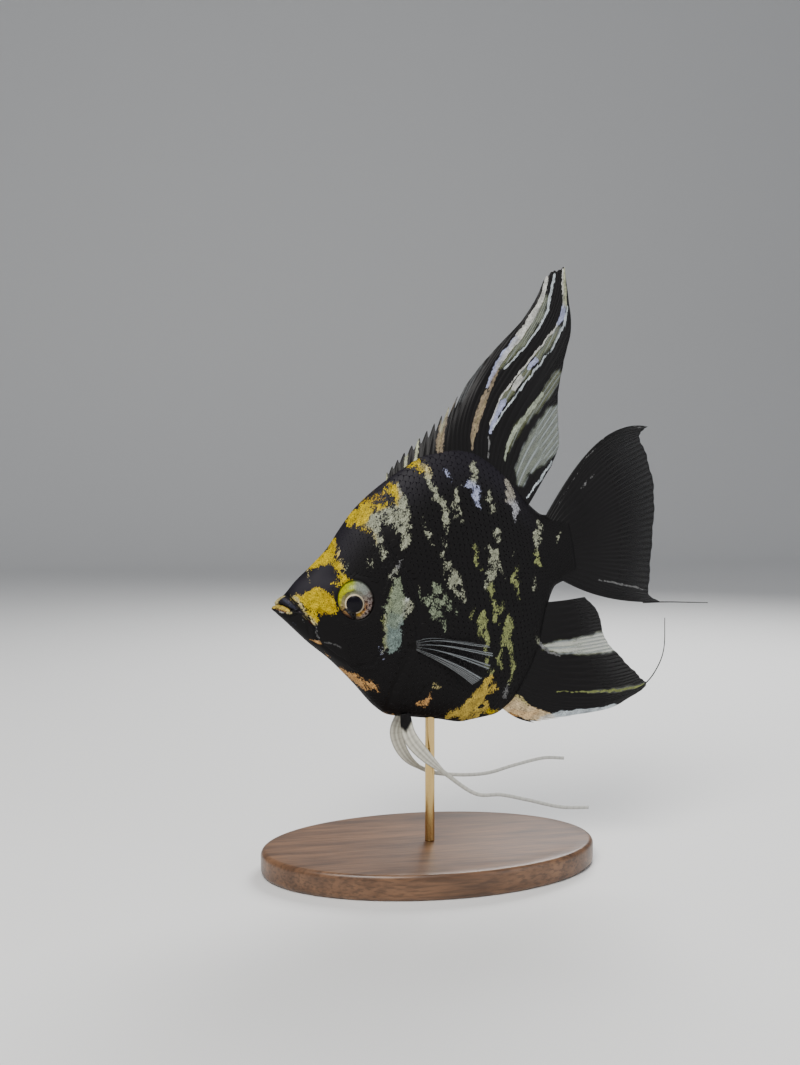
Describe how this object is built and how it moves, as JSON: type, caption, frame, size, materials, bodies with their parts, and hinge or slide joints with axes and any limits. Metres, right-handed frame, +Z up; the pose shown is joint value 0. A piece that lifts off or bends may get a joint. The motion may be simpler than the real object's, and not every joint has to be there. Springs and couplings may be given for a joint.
{
  "type": "freshwater angelfish",
  "caption": "Life-size still model of a black marble freshwater angelfish, tall and flat with long trailing fins, on a rod and an oval wooden base.",
  "frame": {"origin": "centre of the underside of the stand's oval base", "axes": "+Z up the rod, -X towards the fish's snout, -Y towards the fish's left side"},
  "size_m": [0.1174, 0.05, 0.15],
  "materials": {
    "black_skin": "satin",
    "lip_skin": "satin",
    "black_fin": "satin",
    "clear_fin": "satin",
    "pale_thread": "satin",
    "eye": "polished",
    "walnut": "satin",
    "brass": "polished"
  },
  "bodies": {
    "root": {"head": "black_skin", "trunk": "black_skin", "tail_stem": "black_skin", "gill_cover_left": "black_skin", "gill_cover_right": "black_skin", "upper_jaw": "lip_skin", "lower_jaw": "lip_skin", "eye_left": "eye", "eye_right": "eye", "dorsal_fin": "black_fin", "anal_fin": "black_fin", "tail_fin": "black_fin", "pectoral_fin_left": "clear_fin", "pectoral_fin_right": "clear_fin", "pelvic_fin_left": "pale_thread", "pelvic_fin_right": "pale_thread", "stand_base": "walnut", "stand_rod": "brass"}
  },
  "joints": []
}
